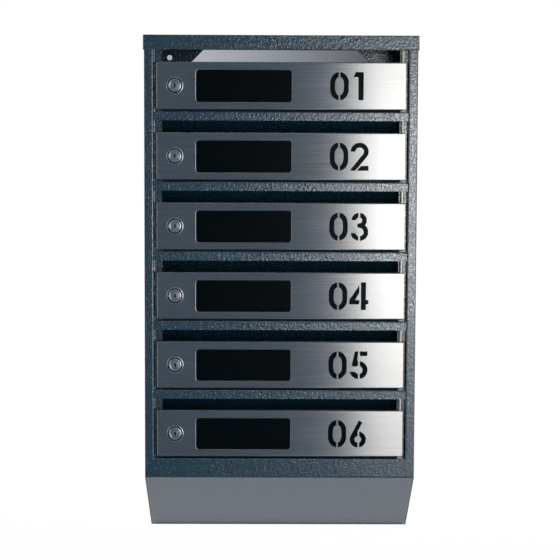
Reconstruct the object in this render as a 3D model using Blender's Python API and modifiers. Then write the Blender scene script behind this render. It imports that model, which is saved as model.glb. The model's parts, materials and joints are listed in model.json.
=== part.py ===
"""Wall-hung mailbox unit: folded steel carcass, stainless doors on one hinge rod, cam locks.

Metres, +Z up. The doors face -Y, and the open back lies against a wall at +Y. The origin is the
middle of the underside of the unit's bounding box. Row 1 is the top row.
"""

import math

import bmesh
import bpy
from mathutils import Matrix, Vector

# Carcass
ROWS = 6
WIDTH = 0.390                 # over the two side panels
DEPTH = 0.140                 # face of the front frame to the wall
ROW_PITCH = 0.100
FLOOR_FALL = 0.102            # drop of the bottom panel from the front frame to the wall
SHEET = 0.0010
INSIDE_BEND = 0.0006          # inside radius of every fold
BEND_STEPS = 3
FLAT_ANGLE = math.radians(20)
SEAM = 0.0003                 # clearance between pieces that touch or slide
POST_FACE = 0.0130            # front face of a side panel
STOP_SETBACK = 0.0115         # front frame face to the door stop
STOP_WIDTH = 0.0120
REAR_FLANGE = 0.0120
CAP_FLANGE = 0.0210
LIP = 0.0126                  # front lip of a shelf
SILL_TO_STOP = 0.0025
BOTTOM_STRIP = 0.0274
BOTTOM_UPSTAND = 0.0180       # rear flange of the bottom panel, flat on the wall
SHELF_HEM = 0.0080
WELD_FLANGE = 0.0090          # folded edge along each side of a sloped floor
WELD_FLANGE_IN = 0.0140       # its ends from the bends at the front and the back
GUSSET_LEG = 0.0862
GUSSET_TIP = 0.0050
WALL_HOLE_RADIUS = 0.0040
WALL_HOLE_IN = 0.0290         # from the outside of the side panel
WALL_HOLE_DOWN = 0.0265       # from the top of the cap
WALL_HOLE_SIDES = 16

# Doors
SLOT = 0.0170                 # mail slot above each door
DOOR_SIDE_GAP = 0.0045
DOOR_SILL_GAP = 0.0030
DOOR_RECESS = 0.0005          # door face behind the front frame face
DOOR_SHEET = 0.0010
DOOR_STOP_GAP = 0.0004
WINDOW_WIDTH = 0.1364
WINDOW_HEIGHT = 0.0455
WINDOW_IN = 0.0565            # from the lock end of the door
WINDOW_UP = 0.0105            # from the lower edge of the door
WINDOW_RADIUS = 0.0045
WINDOW_STEPS = 3
PANE_THICKNESS = 0.0020
PANE_LAP = 0.0090             # pane beyond the window at the lock end
PANE_HINGE_MARGIN = 0.0425    # pane to the hinge end of the door
PANE_EDGE_GAP = 0.0045        # pane to the folded edges above and below
PANE_RADIUS = 0.0030

# Hinge rod
ROD_RADIUS = 0.0020
ROD_IN = 0.0035               # rod axis from the hinge end of the door
ROD_BEHIND = 0.0035           # rod axis behind the door face
ROD_FOOT_GAP = 0.0020
ROD_HEAD_GAP = 0.0040
ROD_SIDES = 16
WASHER_WALL = 0.0015

# Cam lock, turned about an axis square to the door
LOCK_IN = 0.0265              # from the lock end of the door
LOCK_SIDES = 24
PLUG_RADIUS = 0.0060
BARREL_RADIUS = 0.0092
BARREL_FLAT_DEPTH = 0.0012    # taken off each of two sides
BEZEL_LAP = 0.0029            # bezel beyond the barrel
BEZEL_LAND = 0.0021           # flat ring round the plug
BEZEL_RIM = 0.0010
BEZEL_HEIGHT = 0.0030
BEZEL_STEPS = 4
NUT_WALL = 0.0015
NUT_HEIGHT = 0.0040
PLUG_SET = 0.0004             # plug face below the bezel
KEYWAY_WIDTH = 0.0016
KEYWAY_HEIGHT = 0.0078
KEYWAY_DEPTH = 0.0060
TAIL = 0.0064                 # square tail of the plug
TAIL_BEYOND_CAM = 0.0015
CAM_THICKNESS = 0.0020
CAM_TO_STOP = 0.0008
CAM_REACH = 0.0290
CAM_HUB = 0.0085
CAM_ARM = 0.0120
CAM_CORNER = 0.0030

# Fineness of the meshes
LOCATE = 0.000001             # points nearer than this are one
EAR_STEPS = 4
CAM_HUB_STEPS = 12
CAM_CORNER_STEPS = 3
SHARP_ANGLE = math.radians(35)
AXIS_MARK = 0.0200            # drawn size of an empty

# Heights and planes that follow from the sizes above
OVERCUT = 0.0100              # how far a cutter runs past what it cuts
BEND = INSIDE_BEND + SHEET
DOOR_BEND = INSIDE_BEND + DOOR_SHEET
FRONT_REACH = max(SEAM + BEZEL_HEIGHT - DOOR_RECESS, SEAM + SHEET)
FACE_Y = (FRONT_REACH - DEPTH) / 2
WALL_Y = FACE_Y + DEPTH
STOP_Y = FACE_Y + STOP_SETBACK
BOTTOM_SILL = FLOOR_FALL + BOTTOM_STRIP
CAP_EDGE = BOTTOM_SILL + ROWS * ROW_PITCH - LIP
HEIGHT = CAP_EDGE + CAP_FLANGE
UNDER_CAP = HEIGHT - SHEET - SEAM
INSIDE = WIDTH / 2 - SHEET - SEAM
OPENING = WIDTH / 2 - POST_FACE
STOP_EDGE = OPENING - STOP_WIDTH
SILL_DEPTH = STOP_SETBACK - SILL_TO_STOP
SLOPE = math.atan2(FLOOR_FALL, DEPTH)
DOOR_WIDTH = 2 * (OPENING - DOOR_SIDE_GAP)
DOOR_HEIGHT = ROW_PITCH - LIP - SLOT - DOOR_SILL_GAP
DOOR_FLANGE = STOP_SETBACK - DOOR_RECESS - DOOR_STOP_GAP
DOOR_END = ROD_IN - DOOR_WIDTH
ROD_X = DOOR_WIDTH / 2 - ROD_IN
ROD_Y = FACE_Y + DOOR_RECESS + ROD_BEHIND
ROD_BORE = ROD_RADIUS + SEAM
CAM_FRONT = STOP_SETBACK + SHEET + CAM_TO_STOP - DOOR_RECESS
BARREL_FLAT = BARREL_RADIUS - BARREL_FLAT_DEPTH
BEZEL_RADIUS = BARREL_RADIUS + BEZEL_LAP
PLUG_BORE = PLUG_RADIUS + SEAM
NUT_BORE = BARREL_RADIUS + SEAM


def sill_height(row):
    """Height of the sill under the door of a row."""
    return BOTTOM_SILL + (ROWS - row) * ROW_PITCH


def floor_drop(behind_face):
    """Fall of a floor that leaves the front frame face at its bend."""
    return behind_face * math.tan(SLOPE)


def clear_scene():
    for obj in list(bpy.data.objects):
        bpy.data.objects.remove(obj, do_unlink=True)


def new_collection(name):
    collection = bpy.data.collections.new(name)
    bpy.context.scene.collection.children.link(collection)
    return collection


def new_material(name, colour, metallic, roughness):
    material = bpy.data.materials.new(name)
    material.use_nodes = True
    shader = material.node_tree.nodes["Principled BSDF"]
    shader.inputs["Base Color"].default_value = (*colour, 1.0)
    shader.inputs["Metallic"].default_value = metallic
    shader.inputs["Roughness"].default_value = roughness
    return material


clear_scene()
PARTS = new_collection("mailbox_unit")
CUTTERS = new_collection("cutters")
PAINT = new_material("blue_grey_wrinkle_paint", (0.040, 0.066, 0.084), 0.0, 0.45)
STAINLESS = new_material("brushed_stainless", (0.60, 0.60, 0.59), 1.0, 0.30)
ACRYLIC = new_material("smoked_acrylic", (0.010, 0.010, 0.012), 0.0, 0.10)
CHROME = new_material("plated_zinc", (0.68, 0.68, 0.70), 1.0, 0.18)
STEEL = new_material("bright_steel", (0.58, 0.58, 0.58), 1.0, 0.30)
NYLON = new_material("pale_nylon", (0.72, 0.72, 0.70), 0.0, 0.50)


def mesh_object(name, bm, collection, material=None):
    mesh = bpy.data.meshes.new(name)
    bm.to_mesh(mesh)
    bm.free()
    obj = bpy.data.objects.new(name, mesh)
    collection.objects.link(obj)
    if material:
        mesh.materials.append(material)
    return obj


def box(low, high, frame=Matrix.Identity(4)):
    """Block between two corners, in the axes of a frame."""
    low, high = Vector(low), Vector(high)
    scale = Matrix.Diagonal((*(high - low), 1.0))
    bm = bmesh.new()
    bmesh.ops.create_cube(bm, size=1.0, matrix=frame @ Matrix.Translation((low + high) / 2) @ scale)
    return bm


def cylinder(radius, low, high, sides, frame=Matrix.Identity(4)):
    """Round bar along the Z axis of a frame."""
    middle = Matrix.Translation((0.0, 0.0, (low + high) / 2))
    bm = bmesh.new()
    bmesh.ops.create_cone(bm, cap_ends=True, segments=sides, radius1=radius, radius2=radius,
                          depth=high - low, matrix=frame @ middle)
    return bm


def plate(outlines, low, high, frame=Matrix.Identity(4)):
    """Flat plate with cut-outs: filled outlines in XY, thick along Z, set in a frame."""
    curve = bpy.data.curves.new("outline", "CURVE")
    curve.dimensions = "2D"
    curve.fill_mode = "BOTH"
    curve.extrude = (high - low) / 2
    for outline in outlines:
        spline = curve.splines.new("POLY")
        spline.points.add(len(outline) - 1)
        for point, (x, y) in zip(spline.points, outline):
            point.co = (x, y, 0.0, 1.0)
        spline.use_cyclic_u = True
    holder = bpy.data.objects.new("outline", curve)
    CUTTERS.objects.link(holder)
    mesh = evaluated_mesh(holder)
    bpy.data.objects.remove(holder)
    bm = bmesh.new()
    bm.from_mesh(mesh)
    bmesh.ops.remove_doubles(bm, verts=bm.verts, dist=LOCATE)
    bmesh.ops.recalc_face_normals(bm, faces=bm.faces)
    bmesh.ops.transform(bm, matrix=frame @ Matrix.Translation((0.0, 0.0, (low + high) / 2)),
                        verts=bm.verts)
    return bm


def arc(centre, radius, start, end, steps):
    """Points of a round stretch from one angle to another, in degrees."""
    angles = [math.radians(start + (end - start) * i / steps) for i in range(steps + 1)]
    return [(centre[0] + radius * math.cos(a), centre[1] + radius * math.sin(a)) for a in angles]


def evaluated_mesh(obj):
    graph = bpy.context.evaluated_depsgraph_get()
    return bpy.data.meshes.new_from_object(obj.evaluated_get(graph))


def folded_sheet(name, bm, sheet, bend, material):
    """Object from an open skin: rounded folds, then the sheet thickness laid on the inside."""
    rounded = bm.edges.layers.float.new("bevel_weight_edge")
    for edge in bm.edges:
        if len(edge.link_faces) == 2 and edge.smooth:
            edge[rounded] = 1.0 if edge.calc_face_angle() > FLAT_ANGLE else 0.0
    obj = mesh_object(name, bm, PARTS, material)
    fold = obj.modifiers.new("folds", "BEVEL")
    fold.width = bend
    fold.segments = BEND_STEPS
    fold.limit_method = "WEIGHT"
    skin = obj.modifiers.new("sheet", "SOLIDIFY")
    skin.thickness = sheet
    skin.offset = -1.0
    skin.solidify_mode = "NON_MANIFOLD"
    skin.nonmanifold_thickness_mode = "CONSTRAINTS"
    return obj


def cut(obj, name, bm):
    """Take a tool's volume away from an object."""
    tool = mesh_object(f"{name}_cutter", bm, CUTTERS)
    tool.hide_render = True
    tool.display_type = "WIRE"
    boolean = obj.modifiers.new(name, "BOOLEAN")
    boolean.operation = "DIFFERENCE"
    boolean.solver = "EXACT"
    boolean.object = tool
    return boolean


def join(obj, name, bm):
    """Unite a tool's volume with an object."""
    cut(obj, name, bm).operation = "UNION"


def baked(template):
    """Mesh of a finished template, whose tools and object are then removed."""
    mesh = evaluated_mesh(template)
    mesh.name = template.name
    tools = [m.object for m in template.modifiers if m.type == "BOOLEAN"]
    for obj in [template, *tools]:
        bpy.data.objects.remove(obj)
    return mesh


def smooth(mesh):
    mesh.shade_smooth()
    mesh.set_sharp_from_angle(angle=SHARP_ANGLE)


def copy_of(mesh, name, location, parent=None, rotation=(0.0, 0.0, 0.0)):
    obj = bpy.data.objects.new(name, mesh)
    PARTS.objects.link(obj)
    obj.location = location
    obj.rotation_euler = rotation
    obj.parent = parent
    return obj


def empty(name, location, parent=None):
    obj = bpy.data.objects.new(name, None)
    PARTS.objects.link(obj)
    obj.empty_display_size = AXIS_MARK
    obj.location = location
    obj.parent = parent
    return obj


def swept_skin(chain, run, first_normal):
    """Open skin: a chain of points swept along a line, its first face turned to a given side."""
    bm = bmesh.new()
    verts = [bm.verts.new(point) for point in chain]
    edges = [bm.edges.new(pair) for pair in zip(verts, verts[1:])]
    swept = bmesh.ops.extrude_edge_only(bm, edges=edges)["geom"]
    moved = [item for item in swept if isinstance(item, bmesh.types.BMVert)]
    bmesh.ops.translate(bm, verts=moved, vec=run)
    bmesh.ops.recalc_face_normals(bm, faces=bm.faces)
    bm.normal_update()
    if edges[0].link_faces[0].normal.dot(Vector(first_normal)) < 0:
        bmesh.ops.reverse_faces(bm, faces=bm.faces)
    return bm


def fold_edge(bm, edge, vec, relief):
    """Fold a flange out of a free edge, its two ends cut back at a slant."""
    along = (edge.verts[1].co - edge.verts[0].co).normalized()
    ends = [vert.co.copy() for vert in edge.verts]
    out = bmesh.ops.extrude_edge_only(bm, edges=[edge])["geom"]
    for vert in [item for item in out if isinstance(item, bmesh.types.BMVert)]:
        near_start = (vert.co - ends[0]).length < (vert.co - ends[1]).length
        vert.co += Vector(vec) + along * (relief if near_start else -relief)


def floor_points(front, back):
    """Ends of a sloped floor with the two ends of its weld flange between them."""
    step = (back - front).normalized() * WELD_FLANGE_IN
    return [front, front + step, back - step, back]


def fold_weld_flanges(bm, floor, vec):
    """Fold both side edges of a floor between the two middle ones of its points."""
    start, end = floor[1].yz, floor[2].yz
    sides = []
    for edge in bm.edges:
        a, b = (vert.co.yz for vert in edge.verts)
        forward = (a - start).length + (b - end).length
        backward = (a - end).length + (b - start).length
        if min(forward, backward) < LOCATE:
            sides.append(edge)
    for edge in sides:
        edge.smooth = False
        fold_edge(bm, edge, vec, WELD_FLANGE / 2)


def slope_frame():
    """Axes on the underside of the bottom panel: Y runs down the slope, Z points into the unit."""
    return Matrix.Translation((0.0, FACE_Y, FLOOR_FALL)) @ Matrix.Rotation(-SLOPE, 4, "X")


def upright_frame():
    """Axes of the front: plate outlines in X and height, plate thickness towards the viewer."""
    return Matrix.Rotation(math.pi / 2, 4, "X")


# Folded carcass
def side_panel(name, side):
    """Rear flange, side wall, front post, return and door stop, folded from one sheet."""
    outer = side * WIDTH / 2
    post = side * OPENING
    rear = side * (WIDTH / 2 - REAR_FLANGE)
    chain = [(rear, WALL_Y, 0.0), (outer, WALL_Y, 0.0), (outer, FACE_Y, 0.0), (post, FACE_Y, 0.0),
             (post, STOP_Y, 0.0), (side * STOP_EDGE, STOP_Y, 0.0)]
    skin = swept_skin(chain, (0.0, 0.0, UNDER_CAP), (0.0, 1.0, 0.0))
    obj = folded_sheet(name, skin, SHEET, BEND, PAINT)

    long = DEPTH + FLOOR_FALL
    cut(obj, f"{name}_slope", box((-WIDTH, -long, -long), (WIDTH, long, 0.0), slope_frame()))
    inner = sorted((0.0, side * (INSIDE + SEAM / 2)))
    cut(obj, f"{name}_over_floor",
        box((inner[0], -long, -long), (inner[1], long, SHEET + SEAM), slope_frame()))
    cut(obj, f"{name}_over_upstand",
        box((inner[0], WALL_Y - BEND - SEAM, -OVERCUT),
            (inner[1], WALL_Y + OVERCUT, BOTTOM_UPSTAND + SEAM)))
    beyond = outer + side * OVERCUT
    below = FLOOR_FALL - OVERCUT * BOTTOM_STRIP / POST_FACE
    mitre = [(beyond, below), (post, BOTTOM_SILL), (0.0, BOTTOM_SILL), (0.0, 0.0), (beyond, 0.0)]
    cut(obj, f"{name}_mitre",
        plate([mitre], -(FACE_Y + SHEET + SEAM), OVERCUT - FACE_Y, upright_frame()))
    return obj


def top_cap():
    """Lid folded down over the front and the sides, with a rod bracket turned in at the front."""
    reach = WIDTH / 2 + SEAM + SHEET
    front = FACE_Y - SEAM - SHEET
    bm = box((-reach, front, CAP_EDGE), (reach, WALL_Y, HEIGHT))
    bm.normal_update()
    open_sides = [face for face in bm.faces if face.normal.y > 0.5 or face.normal.z < -0.5]
    bmesh.ops.delete(bm, geom=open_sides, context="FACES")
    low_front = Vector((front, CAP_EDGE))
    bracket = [edge for edge in bm.edges
               if all((vert.co.yz - low_front).length < LOCATE for vert in edge.verts)]
    fold_edge(bm, bracket[0], (0.0, SILL_DEPTH + SEAM + SHEET, 0.0), 0.0)
    obj = folded_sheet("top_cap", bm, SHEET, BEND, PAINT)
    for side in (-1, 1):
        span = sorted((side * (OPENING - SEAM), side * (WIDTH / 2 + SEAM)))
        cut(obj, f"cap_bracket_end_{side}",
            box((span[0], FACE_Y - SEAM, CAP_EDGE - OVERCUT),
                (span[1], FACE_Y + SILL_DEPTH + OVERCUT, UNDER_CAP)))
    rod = Matrix.Translation((ROD_X, ROD_Y, CAP_EDGE))
    cut(obj, "cap_rod_hole", cylinder(ROD_BORE, -OVERCUT, OVERCUT, ROD_SIDES, rod))
    return obj


def shelf_mesh():
    """Front lip, level sill, sloped floor and rear hem, its origin on the sill line at the face."""
    rear = DEPTH - BEND - SEAM
    fall = floor_drop(rear - SILL_DEPTH)
    floor = floor_points(Vector((-INSIDE, SILL_DEPTH, 0.0)), Vector((-INSIDE, rear, -fall)))
    chain = [(-INSIDE, 0.0, -LIP), (-INSIDE, 0.0, 0.0), *floor]
    bm = swept_skin(chain, (2 * INSIDE, 0.0, 0.0), (0.0, -1.0, 0.0))
    fold_weld_flanges(bm, floor, Vector((0.0, -math.sin(SLOPE), -math.cos(SLOPE))) * WELD_FLANGE)
    rear_edge = [edge for edge in bm.edges
                 if all((v.co.yz - floor[3].yz).length < LOCATE for v in edge.verts)]
    fold_edge(bm, rear_edge[0], (0.0, 0.0, -SHELF_HEM), SHELF_HEM)
    obj = folded_sheet("shelf", bm, SHEET, BEND, PAINT)

    deep = ROW_PITCH
    behind_stop = STOP_SETBACK + SHEET + SEAM
    for side in (-1, 1):
        post = sorted((side * (OPENING - SEAM), side * WIDTH))
        cut(obj, f"shelf_post_{side}", box((post[0], -OVERCUT, -deep), (post[1], behind_stop, deep)))
        stop = sorted((side * (STOP_EDGE - SEAM), side * WIDTH))
        cut(obj, f"shelf_stop_{side}",
            box((stop[0], STOP_SETBACK - BEND - SEAM, -deep), (stop[1], behind_stop, deep)))
    rod = Matrix.Translation((ROD_X, ROD_Y - FACE_Y, 0.0))
    cut(obj, "shelf_rod_hole", cylinder(ROD_BORE, -LIP / 2, LIP / 2, ROD_SIDES, rod))
    return baked(obj)


def bottom_panel():
    """Sill, front strip mitred to the posts, sloped floor and an upstand flat on the wall."""
    floor = floor_points(Vector((-INSIDE, FACE_Y, FLOOR_FALL)), Vector((-INSIDE, WALL_Y, 0.0)))
    chain = [(-INSIDE, WALL_Y, BOTTOM_UPSTAND), *reversed(floor),
             (-INSIDE, FACE_Y, BOTTOM_SILL), (-INSIDE, FACE_Y + SILL_DEPTH, BOTTOM_SILL)]
    bm = swept_skin(chain, (2 * INSIDE, 0.0, 0.0), (0.0, 1.0, 0.0))
    fold_weld_flanges(bm, floor, Vector((0.0, math.sin(SLOPE), math.cos(SLOPE))) * WELD_FLANGE)
    obj = folded_sheet("bottom_panel", bm, SHEET, BEND, PAINT)

    for side in (-1, 1):
        edge = side * (WIDTH / 2 - SEAM)
        inner = side * (OPENING - SEAM)
        above = BOTTOM_SILL + OVERCUT
        mitre = [(edge, FLOOR_FALL), (inner, BOTTOM_SILL), (inner, above), (side * WIDTH, above),
                 (side * WIDTH, FLOOR_FALL)]
        cut(obj, f"strip_mitre_{side}",
            plate([mitre], -(FACE_Y + SILL_DEPTH + OVERCUT), OVERCUT - FACE_Y, upright_frame()))
        end = sorted((inner, side * WIDTH))
        cut(obj, f"sill_end_{side}",
            box((end[0], FACE_Y + SHEET, FLOOR_FALL + BEND),
                (end[1], FACE_Y + SILL_DEPTH + OVERCUT, above)))
        hole_x = side * (WIDTH / 2 - WALL_HOLE_IN)
        hole = Matrix.Translation((hole_x, WALL_Y, BOTTOM_UPSTAND / 2 + SHEET)) @ upright_frame()
        cut(obj, f"wall_hole_{side}",
            cylinder(WALL_HOLE_RADIUS, -OVERCUT, SHEET + SEAM, WALL_HOLE_SIDES, hole))
    rod = Matrix.Translation((ROD_X, ROD_Y, BOTTOM_SILL))
    cut(obj, "strip_rod_hole", cylinder(ROD_BORE, -OVERCUT, OVERCUT, ROD_SIDES, rod))
    return obj


def gusset(name, side):
    """Corner plate inside the rear flange with the hole for a wall screw."""
    outer = INSIDE - INSIDE_BEND
    top = UNDER_CAP
    outline = [(side * outer, top), (side * (outer - GUSSET_LEG), top),
               (side * (outer - GUSSET_LEG), top - GUSSET_TIP),
               (side * (outer - GUSSET_TIP), top - GUSSET_LEG), (side * outer, top - GUSSET_LEG)]
    centre = (side * (WIDTH / 2 - WALL_HOLE_IN), HEIGHT - WALL_HOLE_DOWN)
    hole = arc(centre, WALL_HOLE_RADIUS, 0, 360, WALL_HOLE_SIDES)[:-1]
    back = WALL_Y - SHEET - SEAM
    bm = plate([outline, hole], -back, SHEET - back, upright_frame())
    return mesh_object(name, bm, PARTS, PAINT)


def hinge_rod():
    """One rod through the cap bracket, every sill and the folded edges of all doors."""
    front_of_rod = ROD_Y - ROD_RADIUS - FACE_Y
    foot = FLOOR_FALL - floor_drop(front_of_rod) + SHEET / math.cos(SLOPE) + ROD_FOOT_GAP
    head = HEIGHT - SHEET - ROD_HEAD_GAP
    obj = mesh_object("hinge_rod", cylinder(ROD_RADIUS, foot, head, ROD_SIDES), PARTS, STEEL)
    obj.location = (ROD_X, ROD_Y, 0.0)
    smooth(obj.data)
    return obj


def washer_mesh():
    """Spacer on the rod between a sill and the lower fold of a door."""
    profile = [(ROD_BORE, DOOR_SILL_GAP - SEAM), (ROD_BORE + WASHER_WALL, DOOR_SILL_GAP - SEAM),
               (ROD_BORE + WASHER_WALL, SEAM), (ROD_BORE, SEAM)]
    return turned("hinge_washer", profile, ROD_SIDES, NYLON)


def turned(name, profile, sides, material):
    """Closed ring profile of radius and height, turned about Z."""
    bm = bmesh.new()
    verts = [bm.verts.new((radius, 0.0, height)) for radius, height in profile]
    for pair in zip(verts, verts[1:] + verts[:1]):
        bm.edges.new(pair)
    obj = mesh_object(name, bm, PARTS, material)
    screw = obj.modifiers.new("turn", "SCREW")
    screw.steps = sides
    screw.render_steps = sides
    screw.use_merge_vertices = True
    screw.merge_threshold = LOCATE
    mesh = baked(obj)
    smooth(mesh)
    return mesh


# Doors: the origin of a door is on the rod axis, level with its lower edge
def rounded_block(low, high, radius, steps):
    """Block whose four edges along Y are rounded."""
    bm = box(low, high)
    along = [edge for edge in bm.edges if abs(edge.verts[0].co.y - edge.verts[1].co.y) > LOCATE]
    bmesh.ops.bevel(bm, geom=along, offset=radius, segments=steps, profile=0.5, affect="EDGES",
                    clamp_overlap=True)
    return bm


def lock_bore():
    """Hole with two flats that keeps the lock barrel from turning."""
    centre = Matrix.Translation((DOOR_END + LOCK_IN, -ROD_BEHIND, DOOR_HEIGHT / 2))
    bm = cylinder(BARREL_RADIUS + SEAM, -OVERCUT / 2, OVERCUT, LOCK_SIDES)
    flat = BARREL_FLAT + SEAM
    for vert in bm.verts:
        vert.co.x = max(-flat, min(flat, vert.co.x))
    bmesh.ops.transform(bm, matrix=centre @ upright_frame(), verts=bm.verts)
    return bm


def hinge_end_trim():
    """Corner taken off the upper and lower fold, which leaves a round ear about the rod."""
    deep = DOOR_FLANGE - ROD_BEHIND + OVERCUT
    ear = arc((0.0, 0.0), ROD_IN, 45, 0, EAR_STEPS)
    slant = ear[0][0] + ear[0][1] - deep
    outline = [(slant, deep), *ear, (ROD_IN + OVERCUT, 0.0), (ROD_IN + OVERCUT, deep)]
    return plate([outline], -OVERCUT, DOOR_HEIGHT + OVERCUT)


def door_mesh():
    """Stainless pan: face, three folded edges, window, lock hole and rod ears."""
    face = -ROD_BEHIND
    bm = box((DOOR_END, face, 0.0), (ROD_IN, face + DOOR_FLANGE, DOOR_HEIGHT))
    bm.normal_update()
    open_sides = [side for side in bm.faces if side.normal.y > 0.5 or side.normal.x > 0.5]
    bmesh.ops.delete(bm, geom=open_sides, context="FACES")
    obj = folded_sheet("door", bm, DOOR_SHEET, DOOR_BEND, STAINLESS)

    left = DOOR_END + WINDOW_IN
    window = rounded_block((left, face - OVERCUT, WINDOW_UP),
                           (left + WINDOW_WIDTH, face + DOOR_SHEET + SEAM, WINDOW_UP + WINDOW_HEIGHT),
                           WINDOW_RADIUS, WINDOW_STEPS)
    cut(obj, "window", window)
    cut(obj, "lock_bore", lock_bore())
    cut(obj, "hinge_end", hinge_end_trim())
    cut(obj, "rod_bore", cylinder(ROD_BORE, -OVERCUT, DOOR_HEIGHT + OVERCUT, ROD_SIDES))
    return baked(obj)


def pane_mesh():
    """Smoked acrylic strip behind the window and the number field."""
    front = -ROD_BEHIND + DOOR_SHEET + SEAM
    edge = DOOR_SHEET + PANE_EDGE_GAP
    bm = rounded_block((DOOR_END + WINDOW_IN - PANE_LAP, front, edge),
                       (ROD_IN - PANE_HINGE_MARGIN, front + PANE_THICKNESS, DOOR_HEIGHT - edge),
                       PANE_RADIUS, WINDOW_STEPS)
    return baked(mesh_object("pane", bm, PARTS, ACRYLIC))


# Lock pieces: Z points out of the door, zero at the door face
def lock_body_mesh():
    """Domed bezel on a round barrel with two flats, bored for the plug."""
    front = SEAM + BEZEL_HEIGHT
    rear = SEAM - CAM_FRONT
    land = PLUG_BORE + BEZEL_LAND
    crown = BEZEL_HEIGHT - BEZEL_RIM
    dome = [(land + (BEZEL_RADIUS - land) * x, SEAM + BEZEL_RIM + crown * z)
            for x, z in arc((0.0, 0.0), 1.0, 90, 0, BEZEL_STEPS)]
    profile = [(PLUG_BORE, front), *dome, (BEZEL_RADIUS, SEAM), (BARREL_RADIUS, SEAM),
               (BARREL_RADIUS, rear), (PLUG_BORE, rear)]
    mesh = turned("lock_body", profile, LOCK_SIDES, CHROME)
    obj = copy_of(mesh, "lock_body", (0.0, 0.0, 0.0))
    for side in (-1, 1):
        flat = sorted((side * BARREL_FLAT, side * (BARREL_RADIUS + OVERCUT)))
        cut(obj, f"flat_{side}", box((flat[0], -WIDTH, -DEPTH), (flat[1], WIDTH, SEAM / 2)))
    return baked(obj)


def lock_nut_mesh():
    """Hexagon nut that clamps the barrel to the back of the door."""
    front = -DOOR_SHEET - SEAM
    corner = (NUT_BORE + NUT_WALL) / math.cos(math.pi / 6)
    obj = mesh_object("lock_nut", cylinder(corner, front - NUT_HEIGHT, front, 6), PARTS, STEEL)
    cut(obj, "nut_bore", cylinder(NUT_BORE, -OVERCUT, OVERCUT, LOCK_SIDES))
    return baked(obj)


def lock_plug_mesh():
    """Key plug with a keyway and the square tail that turns the cam."""
    front = SEAM + BEZEL_HEIGHT - PLUG_SET
    rear = SEAM - CAM_FRONT
    tail_end = -CAM_FRONT - CAM_THICKNESS - TAIL_BEYOND_CAM
    obj = mesh_object("lock_plug", cylinder(PLUG_RADIUS, rear, front, LOCK_SIDES), PARTS, CHROME)
    join(obj, "tail", box((-TAIL / 2, -TAIL / 2, tail_end), (TAIL / 2, TAIL / 2, rear + PLUG_RADIUS)))
    cut(obj, "keyway", box((-KEYWAY_WIDTH / 2, -KEYWAY_HEIGHT / 2, front - KEYWAY_DEPTH),
                           (KEYWAY_WIDTH / 2, KEYWAY_HEIGHT / 2, front + OVERCUT)))
    mesh = baked(obj)
    smooth(mesh)
    return mesh


def lock_cam_mesh():
    """Flat cam with a round hub and a square hole, pointing down when the door is free."""
    half = CAM_ARM / 2
    waist = math.degrees(math.asin(half / CAM_HUB))
    tip = CAM_CORNER - CAM_REACH
    outline = [*arc((0.0, 0.0), CAM_HUB, waist - 90, 270 - waist, CAM_HUB_STEPS),
               *arc((CAM_CORNER - half, tip), CAM_CORNER, 180, 270, CAM_CORNER_STEPS),
               *arc((half - CAM_CORNER, tip), CAM_CORNER, 270, 360, CAM_CORNER_STEPS)]
    eye = TAIL / 2 + SEAM
    square = [(-eye, -eye), (eye, -eye), (eye, eye), (-eye, eye)]
    bm = plate([outline, square], -CAM_FRONT - CAM_THICKNESS, -CAM_FRONT)
    return baked(mesh_object("lock_cam", bm, PARTS, STEEL))


def build():
    side_panel("left_side_panel", -1)
    side_panel("right_side_panel", 1)
    top_cap()
    bottom_panel()
    gusset("left_gusset", -1)
    gusset("right_gusset", 1)
    hinge_rod()

    shelf = shelf_mesh()
    for row in range(1, ROWS):
        copy_of(shelf, f"shelf_{row}", (0.0, FACE_Y, sill_height(row)))

    on_door = {"door": door_mesh(), "smoked_pane": pane_mesh()}
    lock_fixed = {"lock_body": lock_body_mesh(), "lock_nut": lock_nut_mesh()}
    lock_turning = {"lock_plug": lock_plug_mesh(), "lock_cam": lock_cam_mesh()}
    washer = washer_mesh()
    facing = upright_frame().to_euler()
    lock_place = (DOOR_END + LOCK_IN, -ROD_BEHIND, DOOR_HEIGHT / 2)
    for row in range(1, ROWS + 1):
        sill = sill_height(row)
        copy_of(washer, f"hinge_washer_{row:02d}", (ROD_X, ROD_Y, sill))
        hinge = empty(f"hinge_axis_{row:02d}", (ROD_X, ROD_Y, sill + DOOR_SILL_GAP))
        for name, mesh in on_door.items():
            copy_of(mesh, f"{name}_{row:02d}", (0.0, 0.0, 0.0), hinge)
        for name, mesh in lock_fixed.items():
            copy_of(mesh, f"{name}_{row:02d}", lock_place, hinge, facing)
        key_axis = empty(f"key_axis_{row:02d}", lock_place, hinge)
        for name, mesh in lock_turning.items():
            copy_of(mesh, f"{name}_{row:02d}", (0.0, 0.0, 0.0), key_axis, facing)


build()
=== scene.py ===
"""Looks of the mailbox unit: stencil-cut stainless doors, cam locks, wrinkle paint and a studio.

Metres, +Z up, the doors face -Y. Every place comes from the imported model, which stays as it is.
"""

import json
import math
from typing import NamedTuple

import bmesh
import bpy
from bpy.props import FloatProperty, FloatVectorProperty, IntProperty, PointerProperty
from mathutils import Matrix, Vector


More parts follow.
